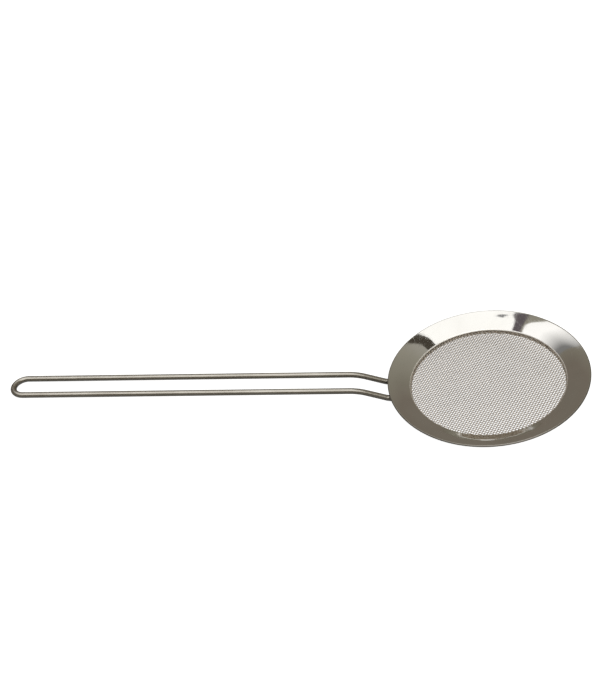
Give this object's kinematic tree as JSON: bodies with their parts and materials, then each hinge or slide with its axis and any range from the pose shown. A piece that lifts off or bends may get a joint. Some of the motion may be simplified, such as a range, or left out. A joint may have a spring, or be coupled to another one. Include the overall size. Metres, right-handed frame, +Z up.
{
  "type": "tea strainer",
  "caption": "Shallow round dish strainer with a fine woven wire floor, a wide polished flange and a long hairpin wire handle welded under the rim.",
  "frame": {"origin": "on the table under the middle of the strainer's length, as it lies at rest on the clamp ring's edge and the loop of the handle", "axes": "+Z up; +X along the strainer, from the loop of the handle towards the dish; +Y completes the frame. The dish's own axis leans 12.2 degrees from +Z towards the handle."},
  "size_m": [0.2936, 0.1, 0.026],
  "materials": {
    "rim_steel": "mirror-polished stainless steel sheet with faint buffing marks",
    "ring_steel": "satin stainless steel, turned grain",
    "mesh_steel": "bright drawn stainless wire, plain weave",
    "wire_steel": "polished drawn stainless wire with fine lengthwise lines",
    "weld_steel": "dull weld metal with a brown heat tint"
  },
  "bodies": {
    "root": {"rim_flange": "rim_steel", "clamp_ring": "ring_steel", "mesh_warp": "mesh_steel", "mesh_weft": "mesh_steel", "handle_wire": "wire_steel", "weld_bead_left": "weld_steel", "weld_bead_right": "weld_steel"}
  },
  "joints": []
}
